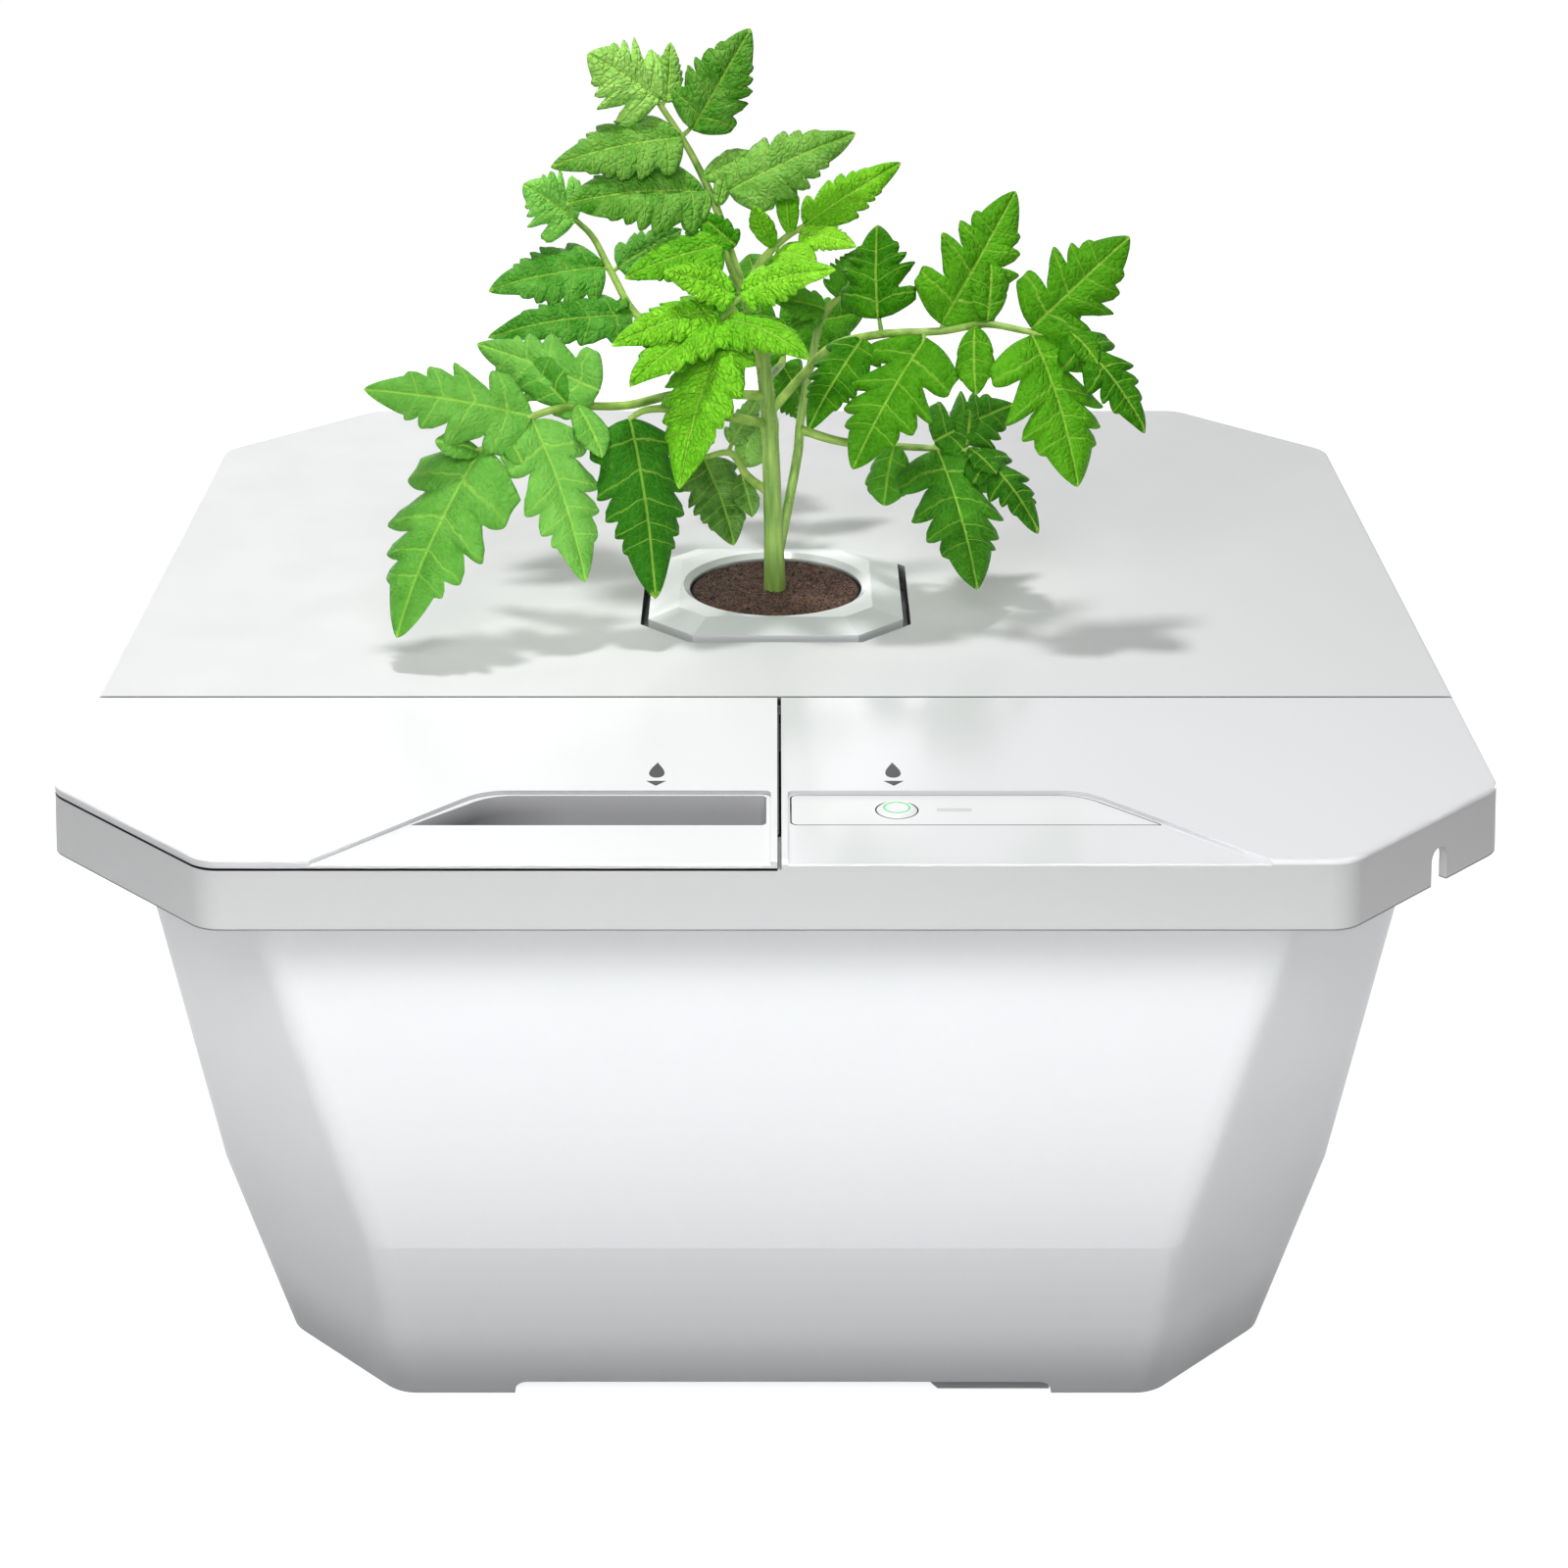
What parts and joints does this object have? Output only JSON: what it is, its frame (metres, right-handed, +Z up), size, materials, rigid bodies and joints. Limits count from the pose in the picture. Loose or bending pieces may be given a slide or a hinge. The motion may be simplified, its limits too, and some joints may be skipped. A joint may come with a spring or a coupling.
{
  "type": "countertop hydroponic garden",
  "caption": "Free-standing hydroponic planter: tapered water tub, rim frame with control deck, lift-off lid with planted net cup, fill cover and drain button.",
  "frame": {"origin": "on the floor under the middle of the square lid and rim frame", "axes": "+Z up, -Y to the front where the fill cover and the control deck are, +X to the right"},
  "size_m": [0.362, 0.362, 0.3376],
  "materials": {
    "tub_white": "satin",
    "frame_grey": "satin",
    "lid_white": "satin",
    "cover_white": "gloss",
    "fascia_grey": "gloss",
    "collar_grey": "semi-gloss",
    "button_white": "gloss",
    "light_green": "gloss",
    "led_grey": "gloss",
    "cup_black": "satin",
    "soil": "rough",
    "leaf_green": "satin",
    "stem_green": "satin",
    "root_cream": "rough",
    "rubber_grey": "matte",
    "silicone": "satin",
    "steel": "brushed",
    "board_green": "satin",
    "part_black": "matte",
    "pump_black": "satin",
    "impeller_blue": "gloss",
    "housing_white": "satin",
    "stone_blue": "rough",
    "float_white": "satin"
  },
  "bodies": {
    "root": {"reservoir_tub": "tub_white", "rim_gasket": "rubber_grey", "foot_pads": "rubber_grey", "sump_cover": "frame_grey", "rim_frame": "frame_grey", "frame_screws": "steel", "cover_pads": "silicone", "control_fascia": "fascia_grey", "led_window": "led_grey", "switch_dome": "silicone", "drain_switch": "part_black", "control_board": "board_green", "board_screws": "steel", "board_parts": "part_black", "control_housing": "housing_white", "housing_screws": "steel", "air_pump": "pump_black", "tube_grommet": "rubber_grey", "air_tube": "silicone", "air_stone": "stone_blue", "pump_housing": "pump_black", "pump_shaft": "steel", "pump_cover": "pump_black", "pump_feet": "rubber_grey", "drain_spout": "housing_white", "spout_nut": "housing_white", "lead_gland": "rubber_grey", "drain_hose": "silicone", "level_sensor": "housing_white", "sensor_nut": "housing_white", "float_clip": "housing_white"},
    "lid": {"main_lid": "lid_white"},
    "basket": {"basket_collar": "collar_grey", "net_cup": "cup_black", "grow_plug": "soil", "roots": "root_cream", "plant_stem": "stem_green", "leaf_top": "leaf_green", "leaf_top_right": "leaf_green", "leaf_left_upper": "leaf_green", "leaf_left_lower": "leaf_green", "leaf_left_front": "leaf_green", "leaf_centre": "leaf_green", "leaf_centre_back": "leaf_green", "leaf_behind": "leaf_green", "leaf_back": "leaf_green", "leaf_side": "leaf_green", "leaf_right": "leaf_green", "leaf_right_low": "leaf_green"},
    "cover": {"fill_cover": "cover_white"},
    "button": {"drain_button": "button_white", "button_light_ring": "light_green"},
    "float": {"level_float": "float_white"},
    "impeller": {"pump_impeller": "impeller_blue"}
  },
  "joints": [
    {"name": "lid_lift", "type": "slide", "parent": "root", "child": "lid", "axis": [0, 0, 1], "range_m": [0, 0.16]},
    {"name": "basket_lift", "type": "slide", "parent": "lid", "child": "basket", "axis": [0, 0, 1], "range_m": [0, 0.16]},
    {"name": "cover_lift", "type": "slide", "parent": "root", "child": "cover", "axis": [0, 0, 1], "range_m": [0, 0.06]},
    {"name": "button_press", "type": "slide", "parent": "root", "child": "button", "axis": [0, 0, -1], "range_m": [0, 0.0012], "stiffness_N_per_m": 1500, "springref_m": -0.0003, "deforming": ["switch_dome"]},
    {"name": "float_rise", "type": "slide", "parent": "root", "child": "float", "axis": [0, 0, 1], "range_m": [0, 0.07]},
    {"name": "impeller_spin", "type": "hinge", "parent": "root", "child": "impeller", "pos_m": [0.044, -0.106, 0.0259], "axis": [1, 0, 0], "continuous": true}
  ]
}
